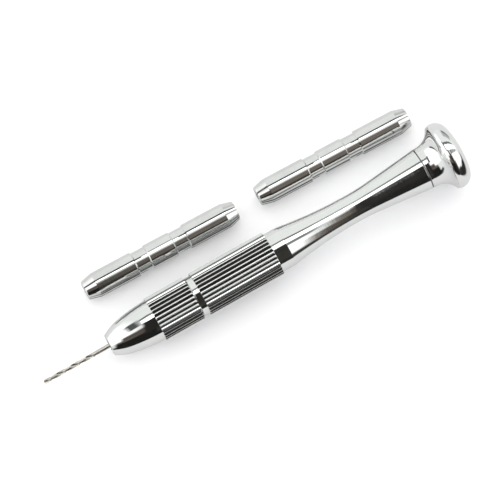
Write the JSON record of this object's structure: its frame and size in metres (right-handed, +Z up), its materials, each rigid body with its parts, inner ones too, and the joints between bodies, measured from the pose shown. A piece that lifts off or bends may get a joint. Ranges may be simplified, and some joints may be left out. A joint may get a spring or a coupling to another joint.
{
  "type": "pin vise hand drill",
  "caption": "Chromed pin vise with a fluted grip, a free-turning domed palm head, a fine twist drill in its collet, and loose double-ended spare collets beside it.",
  "frame": {"origin": "on the surface the tool lies on, under the middle of the bounding box", "axes": "+Z up; +X along the tool in plan, from the drill point to the palm head; the tool's own axis rises towards the head by about 2.1 degrees, because it rests on its front ring and its head"},
  "size_m": [0.1282, 0.0298, 0.0192],
  "materials": {
    "chromed_steel": "bright chrome plate with fine turning marks",
    "collet_steel": "plain turned steel with a dull shine",
    "high_speed_steel": "ground high-speed steel, slightly warm grey",
    "inner_steel": "plain machined steel, hidden inside the head"
  },
  "bodies": {
    "grip": {"handle": "chromed_steel", "thrust_washer": "inner_steel", "retaining_washer": "inner_steel", "pivot_screw": "inner_steel"},
    "collet_in_use": {"collet": "collet_steel"},
    "cap": {"nose_cap": "chromed_steel"},
    "drill": {"drill_bit": "high_speed_steel"},
    "palm_head": {"head_flare": "chromed_steel", "head_dome": "chromed_steel"},
    "fine_spare": {"spare_collet_fine": "collet_steel"},
    "wide_spare": {"spare_collet_wide": "collet_steel"}
  },
  "joints": [
    {"name": "collet_release", "type": "slide", "parent": "grip", "child": "collet_in_use", "axis": [-0.9993, 0, -0.0364], "range_m": [0, 0.0115]},
    {"name": "nose_cap_turn", "type": "hinge", "parent": "collet_in_use", "child": "cap", "pos_m": [-0.04398, -0.00535, 0.00582], "axis": [-0.9993, 0, -0.0364], "range_deg": [0, 4140]},
    {"name": "drill_slide", "type": "slide", "parent": "collet_in_use", "child": "drill", "axis": [-0.9993, 0, -0.0364], "range_m": [0, 0.018]},
    {"name": "head_spin", "type": "hinge", "parent": "grip", "child": "palm_head", "pos_m": [0.05585, -0.00535, 0.00945], "axis": [0.9993, 0, 0.0364], "continuous": true},
    {"name": "lift_fine_collet", "type": "slide", "parent": "grip", "child": "fine_spare", "axis": [0, 0, 1], "range_m": [0, 0.06]},
    {"name": "lift_wide_collet", "type": "slide", "parent": "grip", "child": "wide_spare", "axis": [0, 0, 1], "range_m": [0, 0.06]}
  ],
  "couplings": [
    {"joint": "nose_cap_turn", "follows": "collet_release", "rad_per_m": 6283.2}
  ]
}
